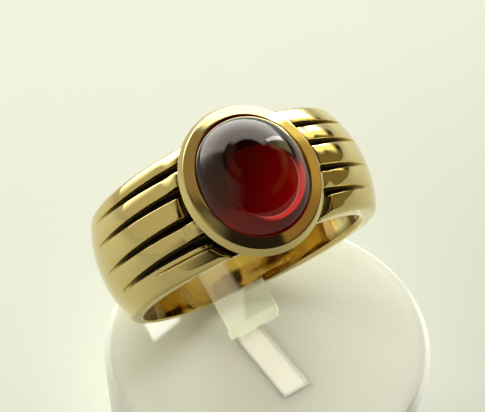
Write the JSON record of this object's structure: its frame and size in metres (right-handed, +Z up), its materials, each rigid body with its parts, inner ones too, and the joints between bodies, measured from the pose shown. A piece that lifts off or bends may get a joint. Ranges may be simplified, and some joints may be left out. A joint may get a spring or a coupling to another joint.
{
  "type": "garnet ring on a display stand",
  "caption": "Yellow gold ring with ribbed shoulders and an oval, smooth red stone in a bezel, leaning on a frosted puck and held by a clear clip.",
  "frame": {"origin": "centre of the puck's flat bottom face", "axes": "+Z up along the puck's axis, -Y towards the viewer and the way the ring leans, +X to the viewer's right"},
  "size_m": [0.0256, 0.0261, 0.0382],
  "materials": {
    "gold": "polished",
    "garnet": "polished",
    "frosted_acrylic": "frosted",
    "clear_plastic": "clear"
  },
  "bodies": {
    "root": {"ring_metal": "gold", "garnet": "garnet", "stand_puck": "frosted_acrylic", "stand_clip": "clear_plastic"}
  },
  "joints": []
}
